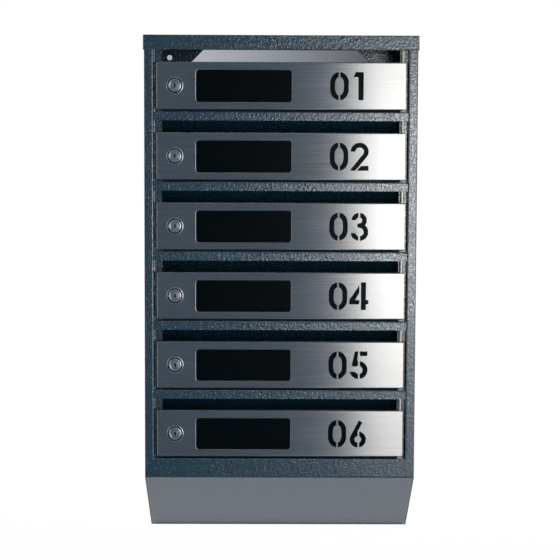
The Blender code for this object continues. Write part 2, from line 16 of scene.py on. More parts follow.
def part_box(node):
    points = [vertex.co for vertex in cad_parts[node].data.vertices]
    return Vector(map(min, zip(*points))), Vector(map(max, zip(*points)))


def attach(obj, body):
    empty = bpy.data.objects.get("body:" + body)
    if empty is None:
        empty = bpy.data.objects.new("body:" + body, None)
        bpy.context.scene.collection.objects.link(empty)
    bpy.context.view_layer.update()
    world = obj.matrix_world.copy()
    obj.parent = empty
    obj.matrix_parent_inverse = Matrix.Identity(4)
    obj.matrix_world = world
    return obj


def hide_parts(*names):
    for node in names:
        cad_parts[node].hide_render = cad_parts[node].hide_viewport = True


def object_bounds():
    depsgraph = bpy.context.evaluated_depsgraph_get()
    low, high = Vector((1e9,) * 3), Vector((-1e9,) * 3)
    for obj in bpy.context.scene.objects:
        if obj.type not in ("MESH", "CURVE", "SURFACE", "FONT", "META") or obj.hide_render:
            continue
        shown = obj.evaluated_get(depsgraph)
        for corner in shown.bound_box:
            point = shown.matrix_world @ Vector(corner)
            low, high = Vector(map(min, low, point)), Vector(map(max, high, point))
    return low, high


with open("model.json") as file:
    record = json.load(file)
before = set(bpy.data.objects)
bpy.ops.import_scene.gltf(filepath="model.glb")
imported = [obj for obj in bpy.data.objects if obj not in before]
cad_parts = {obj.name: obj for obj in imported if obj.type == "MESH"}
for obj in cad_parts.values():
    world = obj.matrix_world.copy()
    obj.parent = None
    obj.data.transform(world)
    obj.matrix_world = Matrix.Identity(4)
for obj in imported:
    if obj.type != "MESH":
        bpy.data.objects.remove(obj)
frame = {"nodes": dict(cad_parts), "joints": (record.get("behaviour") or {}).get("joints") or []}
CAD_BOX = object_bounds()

bl_info = {
    "name": "Mailbox unit looks",
    "version": (1, 0, 0),
    "blender": (4, 5, 0),
    "location": "3D View > Sidebar > Mailbox",
    "description": "Dresses a six-door mailbox unit and sets up its studio",
    "category": "Object",
}

MM = 0.001
ROWS = range(1, 7)
JOINT_POINT = {joint["name"]: Vector(joint["pos_m"]) for joint in frame["joints"]}
PAINTED = ["left_side_panel", "right_side_panel", "top_cap", "bottom_panel", "left_gusset",
           "right_gusset", *[f"shelf_{row}" for row in range(1, 6)]]

OUTWARD = (0.0, -1.0, 0.0)
INWARD = (0.0, 1.0, 0.0)
UPWARD = (0.0, 0.0, 1.0)
UPRIGHT = Matrix.Rotation(math.pi / 2, 4, "X")  # makes what lies flat stand in X and Z
WHITE = (1.0, 1.0, 1.0, 1.0)
BLACK = (0.0, 0.0, 0.0, 1.0)

PAST = 10 * MM  # how far a cutting tool reaches past the piece
BEHIND_SHEET = 0.2 * MM  # how far it goes on behind a sheet that it cuts
TOOL_EDGE = 0.1 * MM  # chamfer of a cutting block
WELD = 0.001 * MM  # points closer than this are one
ARC_STEP = 6  # degrees from point to point along an arc
SHARP = math.radians(50)  # edges above this angle are shaded sharp
DIGIT_TALL = 40.0  # height of the stencil outlines, in millimetres
NOISE_RANGE = (0.3, 0.7)  # where most values of a noise lie


class Flag(NamedTuple):
    """Felt of the studio that shapes what the metal and the paint mirror."""
    name: str
    felt: str
    width: float
    tall: float
    at: tuple
    upright: bool = False
    gloss_only: bool = False


# Colour of each felt, and the light that it gives by itself
FELTS = {
    "grey_felt": ("#76899b", 0.0),
    "black_felt": ("#0c0e10", 0.0),
    "white_felt": ("#e8e8e8", 0.28),
}
FLAGS = [
    Flag("pale_mat", "white_felt", width=2.4, tall=1.3, at=(0.0, 0.70, -0.79), gloss_only=True),
    Flag("dark_screen", "grey_felt", width=4.5, tall=4.2, at=(-1.95, -2.9, 1.3), upright=True),
    Flag("dark_ceiling", "grey_felt", width=7.0, tall=2.3, at=(0.0, -1.75, 2.6)),
    Flag("dark_back", "black_felt", width=0.70, tall=1.10, at=(0.0, 0.35, 0.30), upright=True),
    Flag("dark_mat", "grey_felt", width=7.0, tall=2.8, at=(-0.70, -1.6, -0.79), gloss_only=True),
    Flag("dark_foot", "black_felt", width=0.38, tall=0.25, at=(0.0, 0.078, 0.110), upright=True,
         gloss_only=True),
    Flag("dark_header", "grey_felt", width=2.5, tall=1.6, at=(1.60, -2.9, 1.75), upright=True),
]


def linear(code):
    """Linear RGB of an sRGB hex colour."""
    parts = [int(code[i:i + 2], 16) / 255 for i in (1, 3, 5)]
    return [c / 12.92 if c <= 0.04045 else ((c + 0.055) / 1.055) ** 2.4 for c in parts]


# Settings
def length(name, millimetres, description):
    """Property for a size, given in millimetres."""
    return FloatProperty(name=name, description=description, default=millimetres * MM, min=0.0,
                         precision=5, subtype="DISTANCE", unit="LENGTH")


def point(name, metres, description):
    """Property for a place, given in metres."""
    return FloatVectorProperty(name=name, description=description, default=metres, size=3,
                               precision=4, subtype="TRANSLATION", unit="LENGTH")


def span(name, ends, description):
    """Property for a stretch, given by its two ends in metres."""
    return FloatVectorProperty(name=name, description=description, default=ends, size=2,
                               precision=4, unit="LENGTH")


def angle(name, degrees, description):
    """Property for an angle, given in degrees."""
    return FloatProperty(name=name, description=description, default=math.radians(degrees),
                         subtype="ANGLE", unit="ROTATION")


def colour(name, code, description):
    """Property for a colour, given as an sRGB hex value."""
    return FloatVectorProperty(name=name, description=description, default=linear(code), size=3,
                               min=0.0, max=1.0, subtype="COLOR")


class MailboxDoorSettings(bpy.types.PropertyGroup):
    """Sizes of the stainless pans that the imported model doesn't give."""
    sheet: length("Sheet", 1.0, "Thickness of the stainless sheet")
    bend: length("Bend", 1.6, "Outside radius of the folds")
    edge: length("Cut edge", 0.12, "Rounding of the laser-cut edges")
    window_in: length("Window from lock end", 56.5, "Lock end of the door to the window")
    window_up: length("Window from below", 10.5, "Lower edge of the door to the window")
    window_width: length("Window width", 136.4, "Clear width of the window")
    window_height: length("Window height", 45.5, "Clear height of the window")
    window_radius: length("Window corner", 4.5, "Corner radius of the window")
    rolled_edge: length("Rolled edge", 0.8, "Rounding of the front edge of the window")
    number_height: length("Number height", 40.0, "Height of the stencil-cut digits")
    zero_in: length("Zero from middle", 69.8, "Middle of the door to the zero")
    digit_in: length("Digit from middle", 100.0, "Middle of the door to the second digit")
    rod_bore: length("Rod bore", 2.3, "Radius of the holes for the hinge rod")
    lock_bore: length("Lock bore", 9.5, "Radius of the hole for the lock barrel")
    lock_flat: length("Lock flat", 8.075, "Middle of that hole to each of its flats")


class MailboxLockSettings(bpy.types.PropertyGroup):
    """Sizes of the lock trim."""
    seat: length("Seat", 0.3, "Joint point to the seat of the bezel on the door")
    barrel: length("Barrel", 9.2, "Radius of the threaded barrel")
    flats: length("Barrel flats", 8.0, "Middle of the barrel to each of its flats")
    bore: length("Bore", 6.3, "Radius of the bore for the key plug")
    rim_foot: length("Rim foot", 0.3, "Chamfer where the bezel meets the door")
    rim_round: length("Rim rounding", 0.9, "Rounding of the bezel's outer edge")
    rim_height: length("Rim height", 1.7, "Height of the bezel's rim above its seat")
    groove_in: length("Groove from rim", 1.3, "Outer edge of the bezel to the groove")
    groove_width: length("Groove width", 1.6, "Width of the groove in the bezel")
    groove_depth: length("Groove depth", 1.4, "Depth of the groove below the rim")
    groove_slant: length("Groove slant", 0.4, "Slant of each wall of the groove")
    crown: length("Crown", 1.4, "Rounding of the ring inside the groove")
    bore_round: length("Bore edge", 0.9, "Rounding of that ring towards the key plug")
    plug_edge: length("Plug edge", 0.2, "Chamfer of the key plug's face")
    shoulder_gap: length("Shoulder gap", 0.3, "Shoulder of the key plug to the cam")
    tail: length("Tail", 3.2, "Half width of the square tail that carries the cam")
    tail_round: length("Tail edge", 0.3, "Rounding of the tail's edges")
    tail_overlap: length("Tail overlap", 2.0, "How far the tail reaches into the plug")
    keyway_width: length("Keyway width", 2.0, "Width of the key slot")
    keyway_height: length("Keyway height", 6.2, "Height of the key slot")
    keyway_depth: length("Keyway depth", 5.5, "Depth of the key slot")
    keyway_round: length("Keyway edge", 1.2, "Rounding of the key slot's edge")
    screw_radius: length("Cam screw", 3.6, "Radius of the screw head that holds the cam")
    screw_height: length("Cam screw height", 2.2, "Height of that screw head")
    cross_reach: length("Cross reach", 2.4, "Half length of the screw's cross slots")
    cross_half: length("Cross half width", 0.45, "Half width of the screw's cross slots")
    cross_depth: length("Cross depth", 1.2, "Depth of the screw's cross slots")


class MailboxHingeSettings(bpy.types.PropertyGroup):
    """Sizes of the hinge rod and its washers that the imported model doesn't give."""
    rod_edge: length("Rod edge", 0.4, "Chamfer at the ends of the rod")
    washer_gap: length("Washer gap", 0.3, "Clearance of the washers on the rod")
    washer_edge: length("Washer edge", 0.3, "Chamfer of the washers")


class MailboxFinishSettings(bpy.types.PropertyGroup):
    """Colours of the finishes and the size of their grain."""
    paint: colour("Paint", "#1b3c4d", "Dark petrol blue of the powder coat")
    # Painted highlight: the tops of the wrinkles are lighter, so their valleys read as painted shade
    paint_ridge_highlight: colour("Paint high spots", "#2a5063", "Colour on top of the wrinkles")
    stainless: colour("Stainless", "#cccbc9", "Reflection colour of the brushed sheet")
    chrome: colour("Plating", "#d9d9dd", "Reflection colour of the plated lock")
    # Painted shade: dark colour for the groove of the bezel and the walls of the key slot, where shade
    # falls
    recess_shade: colour("Recess", "#15161a", "Darkened metal in the groove and the key slot")
    steel: colour("Steel", "#c9c8c5", "Reflection colour of the rod, nuts and cams")
    acrylic: colour("Acrylic", "#0a1216", "Smoked acrylic")
    nylon: colour("Nylon", "#d6d4cc", "Moulded washers")
    wrinkle: length("Wrinkle", 3.0, "Width of one wrinkle of the paint, drawn coarser than real")
    wrinkle_height: length("Wrinkle height", 0.08, "Height of the wrinkles of the paint")
    brush_line: length("Brush line", 1.2, "Spacing of the brush lines, drawn coarser than real")
    dust: length("Dust", 6.0, "Size of the dusty patches on the acrylic")
    moulding: length("Moulding", 0.8, "Grain of the moulded nylon")
    scratch: length("Scratch", 0.05, "Height of the brush lines and of the moulding grain")


class MailboxStageSettings(bpy.types.PropertyGroup):
    """Camera and studio."""
    camera_at: point("Camera", (-0.0210, -2.4989, 0.5983), "Place of the camera")
    yaw: angle("Yaw", 0.484, "Turn of the camera to the right")
    pitch: angle("Pitch", 4.918, "Tilt of the camera below level")
    roll: angle("Roll", 0.229, "Turn of the camera about its view")
    lens: FloatProperty(name="Lens", description="Focal length on the camera's frame",
                        default=109.26, subtype="DISTANCE_CAMERA", unit="CAMERA")
    film_width: FloatProperty(name="Frame", description="Width of the camera's frame", default=36.0,
                              subtype="DISTANCE_CAMERA", unit="CAMERA")
    lamp_at: point("Softbox", (0.625, -2.5, 0.41), "Place of the softbox")
    lamp_aim: point("Softbox aim", (0.0, -0.07, 0.45), "Where the softbox points")
    lamp_width: length("Softbox width", 780.0, "Width of the softbox")
    lamp_height: length("Softbox height", 740.0, "Height of the softbox")
    lamp_power: FloatProperty(name="Softbox power", description="Power of the softbox in watts",
                              default=6.7, min=0.0)
    fill: FloatProperty(name="Fill", description="Strength of the white studio as soft light",
                        default=0.7, min=0.0)
    floor_drop: length("Floor below", 800.0, "Floor below the unit, which hangs on a wall")
    floor_size: length("Floor size", 60000.0, "Side of the studio floor")
    floor_colour: colour("Floor", "#f4f4f4", "Pale studio floor")
    floor_lift: FloatProperty(name="Floor lift", description="Light added to the floor for the eye",
                              default=0.38, min=0.0)
    wall_gap: length("Wall gap", 1.0, "Shaded wall behind the unit")
    wall_width: length("Wall width", 376.0, "Width of the shaded wall")
    wall_height: length("Wall height", 710.0, "Height of the shaded wall")
    wall_middle: length("Wall middle", 375.0, "Height of the middle of the shaded wall")
    wall_left: colour("Wall left", "#aeb2b8", "Wall seen at the left of the top slot")
    wall_right: colour("Wall right", "#5c6066", "Wall seen at the right of the top slot")
    wall_shade: colour("Wall shade", "#10181e", "Wall in the shade of the lower rows")
    wall_fade: span("Wall fade", (-0.12, 0.13), "From the left tone of the wall to the right tone")
    wall_foot: span("Wall foot", (0.655, 0.665), "Height at which the pale part begins")
    wall_end: span("Wall end", (0.150, 0.135), "Right end of the pale part")
    round_steps: IntProperty(name="Round steps", description="Sides of turned pieces", default=64,
                             min=12)


# Shading
def rgba(values):
    """Colour with full cover."""
    return (*values, 1.0)


def add_node(tree, kind, inputs, **options):
    """Add a node, set its options, and fill or link its inputs."""
    node = tree.nodes.new(kind)
    for option, value in options.items():
        setattr(node, option, value)
    for key, value in inputs.items():
        if isinstance(value, bpy.types.NodeSocket):
            tree.links.new(value, node.inputs[key])
        else:
            node.inputs[key].default_value = value
    return node


def new_material(name, **values):
    """Material with a Principled shader, its constant values set on the shader's own sockets."""
    material = bpy.data.materials.new(name)
    material.use_nodes = True
    shader = material.node_tree.nodes["Principled BSDF"]
    for key, value in values.items():
        shader.inputs[key.replace("_", " ")].default_value = value
    return material, material.node_tree, shader


def object_place(tree):
    """Socket with the place on the object."""
    return add_node(tree, "ShaderNodeTexCoord", {}).outputs["Object"]


def noise(tree, place, size, **inputs):
    """Socket of a noise whose spots have about the given size."""
    return add_node(tree, "ShaderNodeTexNoise",
                    {"Vector": place, "Scale": 1 / size, **inputs}).outputs["Fac"]


def remap(tree, value, source, target, **options):
    """Socket that carries one range of values over to another."""
    return add_node(tree, "ShaderNodeMapRange",
                    {"Value": value, "From Min": source[0], "From Max": source[1],
                     "To Min": target[0], "To Max": target[1]}, **options).outputs["Result"]


def blend(tree, factor, first, second):
    """Socket of a colour between two colours."""
    return add_node(tree, "ShaderNodeMix", {"Factor": factor, "A": first, "B": second},
                    data_type="RGBA").outputs["Result"]


def bumps(tree, height, strength, distance):
    """Socket of a normal that follows a height."""
    return add_node(tree, "ShaderNodeBump",
                    {"Height": height, "Strength": strength, "Distance": distance}).outputs["Normal"]


def combine(tree, first, second, operation, **options):
    """Socket of a sum, a difference or the like."""
    return add_node(tree, "ShaderNodeMath", {0: first, 1: second}, operation=operation,
                    **options).outputs["Value"]


def seen_directly(tree):
    """Socket that is 1 for rays from the eye, off gloss and through glass, and 0 for soft light."""
    path = add_node(tree, "ShaderNodeLightPath", {}).outputs
    shown = combine(tree, path["Is Camera Ray"], path["Is Glossy Ray"], "MAXIMUM")
    return combine(tree, shown, path["Is Transmission Ray"], "MAXIMUM")


# Finishes
def wrinkle_powder_coat(finish):
    """Baked powder coat that shrinks into fine wrinkles: dark and satin, glinting towards a lamp."""
    material, tree, shader = new_material("wrinkle_powder_coat", IOR=2.1)
    grain = noise(tree, object_place(tree), finish.wrinkle, Detail=1.5, Roughness=0.45, Distortion=0.8)
    ridges = remap(tree, grain, (0.36, 0.64), (0.0, 1.0), interpolation_type="SMOOTHSTEP")
    # Painted highlight on the tops of the wrinkles and painted shade in their valleys
    tint = blend(tree, ridges, rgba(finish.paint), rgba(finish.paint_ridge_highlight))
    tree.links.new(tint, shader.inputs["Base Color"])
    tree.links.new(remap(tree, ridges, (0.0, 1.0), (0.25, 0.09)), shader.inputs["Roughness"])
    tree.links.new(bumps(tree, ridges, 1.0, finish.wrinkle_height), shader.inputs["Normal"])
    return material


def brushed_stainless(finish):
    """Sheet brushed along its length: streaks run level and smear every reflection upright."""
    material, tree, shader = new_material("brushed_stainless_steel", Metallic=1.0, Anisotropic=0.98,
                                          Anisotropic_Rotation=0.25)
    stretch = add_node(tree, "ShaderNodeMapping",
                       {"Vector": object_place(tree), "Scale": (0.012, 1.0, 1.0)})
    lines = noise(tree, stretch.outputs["Vector"], finish.brush_line, Detail=3.0, Roughness=0.6)
    shade = remap(tree, lines, NOISE_RANGE, (0.76, 1.0))
    tint = add_node(tree, "ShaderNodeVectorMath", {0: finish.stainless, 1: shade},
                    operation="MULTIPLY")
    tangent = add_node(tree, "ShaderNodeTangent", {}, direction_type="UV_MAP", uv_map="brushing")
    tree.links.new(remap(tree, lines, NOISE_RANGE, (0.20, 0.25)), shader.inputs["Roughness"])
    tree.links.new(tint.outputs["Vector"], shader.inputs["Base Color"])
    tree.links.new(bumps(tree, lines, 0.05, finish.scratch), shader.inputs["Normal"])
    tree.links.new(tangent.outputs["Tangent"], shader.inputs["Tangent"])
    return material


def worked_metal(name, tint, roughness, grain):
    """Plated or drawn metal: clean reflections, broken a little by fine marks of handling."""
    material, tree, shader = new_material(name, Metallic=1.0, Base_Color=rgba(tint))
    marks = noise(tree, object_place(tree), grain, Detail=3.0)
    dull = remap(tree, marks, NOISE_RANGE, (roughness * 0.75, roughness * 1.35))
    tree.links.new(dull, shader.inputs["Roughness"])
    return material


def smoked_acrylic(finish):
    """Matt cast acrylic, nearly black: hardly any sheen, with a trace of dust."""
    material, tree, shader = new_material("smoked_acrylic", Base_Color=rgba(finish.acrylic), IOR=1.49,
                                          Specular_IOR_Level=0.06)
    dust = noise(tree, object_place(tree), finish.dust, Detail=4.0)
    tree.links.new(remap(tree, dust, (0.4, 0.8), (0.20, 0.26)), shader.inputs["Roughness"])
    return material


def moulded_nylon(finish):
    """Natural nylon: milky, with a soft sheen and a faint moulding texture."""
    material, tree, shader = new_material("moulded_nylon", Base_Color=rgba(finish.nylon),
                                          Roughness=0.45, IOR=1.53)
    skin = noise(tree, object_place(tree), finish.moulding)
    tree.links.new(bumps(tree, skin, 0.2, finish.scratch), shader.inputs["Normal"])
    return material


def felt(name, code, lift):
    """Felt of the studio: no sheen, and where it is lifted, some light of its own."""
    return new_material(name, Base_Color=rgba(linear(code)), Roughness=0.95, Emission_Color=WHITE,
                        Emission_Strength=lift)[0]


def pale_floor(settings):
    """Studio floor: matt and pale, and lifted to white for the eye and in gloss."""
    material, tree, shader = new_material("pale_floor", Base_Color=rgba(settings.floor_colour),
                                          Roughness=0.9, Emission_Color=WHITE)
    lift = remap(tree, seen_directly(tree), (0.0, 1.0), (0.0, settings.floor_lift))
    tree.links.new(lift, shader.inputs["Emission Strength"])
    return material


def shaded_wall(settings):
    """Wall in shade: pale behind the top slot, dark lower down, for the eye alone, clear from behind."""
    material, tree, shader = new_material("shaded_wall", Base_Color=BLACK, Specular_IOR_Level=0.0,
                                          Emission_Strength=1.0)
    place = add_node(tree, "ShaderNodeSeparateXYZ", {"Vector": object_place(tree)}).outputs
    across = remap(tree, place["X"], settings.wall_fade, (0.0, 1.0))
    pale = blend(tree, across, rgba(settings.wall_left), rgba(settings.wall_right))
    rise = remap(tree, place["Z"], settings.wall_foot, (0.0, 1.0))
    inside = remap(tree, place["X"], settings.wall_end, (0.0, rise))
    tree.links.new(blend(tree, inside, rgba(settings.wall_shade), pale), shader.inputs["Emission Color"])
    eye = add_node(tree, "ShaderNodeLightPath", {}).outputs["Is Camera Ray"]
    behind = add_node(tree, "ShaderNodeNewGeometry", {}).outputs["Backfacing"]
    shown = combine(tree, eye, behind, "SUBTRACT", use_clamp=True)
    clear = add_node(tree, "ShaderNodeBsdfTransparent", {})
    pick = add_node(tree, "ShaderNodeMixShader",
                    {0: shown, 1: clear.outputs["BSDF"], 2: shader.outputs["BSDF"]})
    tree.links.new(pick.outputs["Shader"], tree.nodes["Material Output"].inputs["Surface"])
    return material


# Modelling
def link_object(name, data):
    """Object around a mesh, a curve, a lamp or a camera, put in the scene."""
    obj = bpy.data.objects.new(name, data)
    bpy.context.scene.collection.objects.link(obj)
    return obj


def to_object(name, bm):
    """Object from a bmesh, at the origin."""
    mesh = bpy.data.meshes.new(name)
    bm.to_mesh(mesh)
    bm.free()
    return link_object(name, mesh)


def applied(obj):
    """Object whose modifiers are applied; the tools of its Booleans are removed."""
    graph = bpy.context.evaluated_depsgraph_get()
    mesh = bpy.data.meshes.new_from_object(obj.evaluated_get(graph))
    mesh.name = obj.name
    tools = [modifier.object for modifier in obj.modifiers if modifier.type == "BOOLEAN"]
    obj.modifiers.clear()
    obj.data = mesh
    for tool in tools:
        bpy.data.objects.remove(tool)
    return obj


def cut(obj, tool):
    """Take a tool's shape out of an object."""
    boolean = obj.modifiers.new(tool.name, "BOOLEAN")
    boolean.operation = "DIFFERENCE"
    boolean.solver = "EXACT"
    boolean.object = tool


def round_edges(obj, width, above=40.0):
    """Round the edges that turn by more than some degrees."""
    bevel = obj.modifiers.new("rounded_edges", "BEVEL")
    bevel.width = width
    bevel.segments = 2
    bevel.limit_method = "ANGLE"
    bevel.angle_limit = math.radians(above)


def coat(material, *names):
    """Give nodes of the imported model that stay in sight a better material."""
    for name in names:
        frame["nodes"][name].material_slots[0].material = material


def dress(obj, material, body, slot, *nodes):
    """Give a finished piece its material and its body, and hide the nodes that it stands for; the slot
    is not used.
    """
    obj.data.materials.clear()
    obj.data.materials.append(material)
    obj.data.shade_smooth()
    obj.data.set_sharp_from_angle(angle=SHARP)
    flats = obj.modifiers.new("flat_faces", "WEIGHTED_NORMAL")
    flats.weight = 100
    flats.keep_sharp = True
    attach(obj, body)
    if nodes:
        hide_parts(*nodes)
    return obj


def arc(centre, radii, start, end):
    """Points of a round or oval stretch from one angle to another, in degrees."""
    steps = max(2, round(abs(end - start) / ARC_STEP))
    angles = [math.radians(start + (end - start) * i / steps) for i in range(steps + 1)]
    return [(centre[0] + radii[0] * math.cos(a), centre[1] + radii[1] * math.sin(a)) for a in angles]


def round_arc(centre, radius, start, end):
    """Points of a round stretch."""
    return arc(centre, (radius, radius), start, end)


def ring_piece(centre, outer, inner, outer_span, inner_span):
    """Stretch of a ring between two radii; the inner side runs back."""
    return [*round_arc(centre, outer, *outer_span), *round_arc(centre, inner, *inner_span)]


def digit_outlines(digit):
    """Cut-outs of a stencil digit in millimetres from its lower left corner, 40 high, 26 wide."""
    if digit == 0:
        right = [*arc((13.2, 24.6), (13.2, 15.4), 85, 0), *arc((13.2, 15.4), (13.2, 15.4), 0, -85),
                 *arc((13.2, 16.8), (6.2, 9.8), -79, 0), *arc((13.2, 23.2), (6.2, 9.8), 0, 79)]
        return [right, [(26.4 - x, y) for x, y in right]]
    if digit == 1:
        return [[(10.0, 0.0), (17.4, 0.0), (17.4, 40.0), (6.2, 40.0), (2.5, 32.8), (10.0, 32.8)]]
    if digit == 2:
        bow = (12.5, 27.2)
        neck = [*round_arc(bow, 12.8, 180, -35), (6.4, 0.0), (-1.7, 0.0), *round_arc(bow, 6.0, -35, 180)]
        return [neck, [(8.3, 0.0), (25.3, 0.0), (25.3, 6.9), (14.9, 6.9)]]
    if digit == 3:
        high, low = (12.6, 29.0), (13.0, 12.3)
        right = [*round_arc(high, 11.0, 83, -42), *round_arc(low, 12.6, 46, -86),
                 *round_arc(low, 6.0, -81, 90), (10.0, 19.2), (10.0, 24.0),
                 *round_arc(high, 4.2, -90, 72)]
        return [right, ring_piece(high, 11.0, 4.2, (96, 178), (175, 105)),
                ring_piece(low, 12.6, 6.0, (186, 263), (255, 193))]
    if digit == 4:
        stem = [(15.9, 0.0), (23.1, 0.0), (23.1, 8.4), (26.5, 8.4), (26.5, 14.4), (23.1, 14.4),
                (23.1, 40.0), (15.9, 40.0)]
        wing = [(13.6, 35.6), (-0.8, 14.7), (-0.8, 8.2), (13.6, 8.2), (13.6, 14.4), (7.6, 14.4),
                (13.6, 25.0)]
        return [stem, wing]
    if digit == 5:
        bowl = (13.3, 13.0)
        back = [(7.9, 40.0), (12.7, 40.0), (11.5, 26.7), (12.7, 25.7), (12.7, 19.5), (8.0, 17.7),
                (3.2, 19.0)]
        return [back, [(15.0, 33.5), (25.9, 33.5), (25.9, 40.0), (15.0, 40.0)],
                ring_piece(bowl, 13.0, 5.7, (82, -82), (-72, 72)),
                ring_piece(bowl, 13.0, 5.7, (191, 267), (263, 205))]
    if digit == 6:
        bowl = (13.0, 11.7)
        left = [(14.5, 39.5), (19.4, 36.6), (12.7, 23.3), *round_arc(bowl, 4.9, 93, 267),
                *round_arc(bowl, 11.7, 268, 153)]
        return [left, ring_piece(bowl, 11.7, 4.9, (80, -80), (-65, 65))]
    raise ValueError(f"no stencil for digit {digit}")


def clean(bm):
    """Join points that fall together and turn all faces outward."""
    bmesh.ops.remove_doubles(bm, verts=bm.verts, dist=WELD)
    bmesh.ops.recalc_face_normals(bm, faces=bm.faces)


def prism(name, outlines, front, back):
    """Closed tool from flat outlines in X and Z, reaching from one Y to another."""
    curve = bpy.data.curves.new(name, "CURVE")
    curve.dimensions = "2D"
    curve.fill_mode = "BOTH"
    curve.extrude = (back - front) / 2
    for outline in outlines:
        spline = curve.splines.new("POLY")
        spline.points.add(len(outline) - 1)
        for spot, (x, z) in zip(spline.points, outline):
            spot.co = (x, z, 0.0, 1.0)
        spline.use_cyclic_u = True
    holder = link_object(name, curve)
    graph = bpy.context.evaluated_depsgraph_get()
    bm = bmesh.new()
    bm.from_mesh(bpy.data.meshes.new_from_object(holder.evaluated_get(graph)))
    bpy.data.objects.remove(holder)
    clean(bm)
    middle = Matrix.Translation((0.0, (front + back) / 2, 0.0))
    bmesh.ops.transform(bm, matrix=middle @ UPRIGHT, verts=bm.verts)
    return to_object(name, bm)


def upright_prism(name, outline, low, high):
    """Closed tool from a flat outline in X and Y, reaching from one height to another."""
    tool = prism(name, [outline], -(high - low) / 2, (high - low) / 2)
    turn = Matrix.Translation((0.0, 0.0, (low + high) / 2)) @ Matrix.Rotation(-math.pi / 2, 4, "X")
    tool.data.transform(turn)
    return tool


def box_mesh(low, high):
    """Bmesh of a plain box between two corners."""
    bm = bmesh.new()
    bmesh.ops.create_cube(bm, size=1.0, matrix=Matrix.Translation((low + high) / 2)
                          @ Matrix.Diagonal((*(high - low), 1.0)))
    return bm


def bevel_edges(bm, edges, radius, segments):
    """Round or chamfer some edges of a bmesh."""
    bmesh.ops.bevel(bm, geom=edges, offset=radius, segments=segments, profile=0.5, affect="EDGES",
                    material=-1)


def block(name, low, high, radius, segments):
    """Closed block whose four edges along Y are rounded."""
    low, high = Vector(low), Vector(high)
    bm = box_mesh(low, high)
    along = [edge for edge in bm.edges
             if abs(edge.verts[0].co.y - edge.verts[1].co.y) > 0.5 * (high.y - low.y)]
    bevel_edges(bm, along, radius, segments)
    return to_object(name, bm)


def turned(name, profile, axis_point, axis, steps):
    """Closed piece turned about an axis from a profile of radius and height along that axis."""
    bm = bmesh.new()
    verts = [bm.verts.new((radius, 0.0, height)) for radius, height in profile]
    edges = [bm.edges.new(pair) for pair in zip(verts, verts[1:])]
    bmesh.ops.spin(bm, geom=verts + edges, cent=(0.0, 0.0, 0.0), axis=UPWARD, angle=math.tau,
                   steps=steps, use_merge=True)
    clean(bm)
    turn = Vector(UPWARD).rotation_difference(Vector(axis)).to_matrix().to_4x4()
    bmesh.ops.transform(bm, matrix=Matrix.Translation(axis_point) @ turn, verts=bm.verts)
    return to_object(name, bm)


# Doors
def bare_pan(row, settings):
    """Sheet folded at three sides, open towards the back and the hinge."""
    low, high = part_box(f"door_{row:02d}")
    bm = box_mesh(low, high)
    bm.normal_update()
    open_sides = [face for face in bm.faces if face.normal.y > 0.5 or face.normal.x > 0.5]
    bmesh.ops.delete(bm, geom=open_sides, context="FACES")
    folds = [edge for edge in bm.edges if len(edge.link_faces) == 2]
    bevel_edges(bm, folds, settings.bend, segments=6)
    pan = to_object(f"door_pan_{row:02d}", bm)
    skin = pan.modifiers.new("sheet", "SOLIDIFY")
    skin.thickness = settings.sheet
    skin.offset = -1.0
    skin.solidify_mode = "NON_MANIFOLD"
    skin.nonmanifold_thickness_mode = "CONSTRAINTS"
    return pan


def number_tool(row, settings, front, back):
    """Tool for the two digits of a row, centred on the height of the door."""
    low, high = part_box(f"door_{row:02d}")
    scale = settings.number_height / DIGIT_TALL
    foot = (low.z + high.z - settings.number_height) / 2
    middle = (low.x + high.x) / 2
    outlines = []
    for digit, start in ((0, settings.zero_in), (row, settings.digit_in)):
        for outline in digit_outlines(digit):
            outlines.append([(middle + start + x * scale, foot + z * scale) for x, z in outline])
    return prism(f"number_{row:02d}", outlines, front, back)


def lock_hole_tool(row, settings, front, back):
    """Tool for the round hole with two flats that keeps the lock from turning."""
    lock = JOINT_POINT[f"key_turn_{row:02d}"]
    centre = (lock.x, lock.z)
    half = math.degrees(math.acos(settings.lock_flat / settings.lock_bore))
    outline = [*round_arc(centre, settings.lock_bore, half, 180 - half),
               *round_arc(centre, settings.lock_bore, 180 + half, 360 - half)]
    return prism("lock_bore", [outline], front, back)


def hinge_tools(row, settings):
    """Tools that round the ears of the folds about the hinge rod and bore them for it."""
    low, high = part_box(f"door_{row:02d}")
    rod = JOINT_POINT[f"door_swing_{row:02d}"]
    foot, top = low.z - PAST, high.z + PAST
    reach = high.x - rod.x
    ear = round_arc((rod.x, rod.y), reach, 45, 0)
    deep = high.y + PAST
    slant = ear[0][0] - (deep - ear[0][1])
    trim = [(slant, deep), *ear, (high.x + PAST, rod.y), (high.x + PAST, deep)]
    bore = round_arc((rod.x, rod.y), settings.rod_bore, 0, 360)[:-1]
    return [upright_prism("hinge_trim", trim, foot, top), upright_prism("rod_bore", bore, foot, top)]


def roll_window_edge(mesh, face, left, right, radius):
    """Round the front edge of the window, which lies in the face between two upright lines."""
    near = 0.01 * MM
    sharp = math.radians(60)
    bm = bmesh.new()
    bm.from_mesh(mesh)
    rim = [edge for edge in bm.edges if edge.calc_face_angle(0.0) > sharp
           and all(abs(vert.co.y - face) < near and left - near < vert.co.x < right + near
                   for vert in edge.verts)]
    bevel_edges(bm, rim, radius, segments=4)
    bm.to_mesh(mesh)
    bm.free()


def brushing_map(mesh):
    """UV map whose U runs along the brush lines, level on the face and the upper and lower fold.

    The flat face lies apart from the rounded edges, so that they don't turn its brush lines.
    """
    end_fold = 0.7
    flat_face = 0.999
    layer = mesh.uv_layers.new(name="brushing")
    for polygon in mesh.polygons:
        level = abs(polygon.normal.x) < end_fold
        apart = 0.0 if abs(polygon.normal.y) > flat_face else 1.0
        for loop in polygon.loop_indices:
            x, y, z = mesh.vertices[mesh.loops[loop].vertex_index].co
            layer.data[loop].uv = (x, z + y + apart) if level else (z, y + apart)


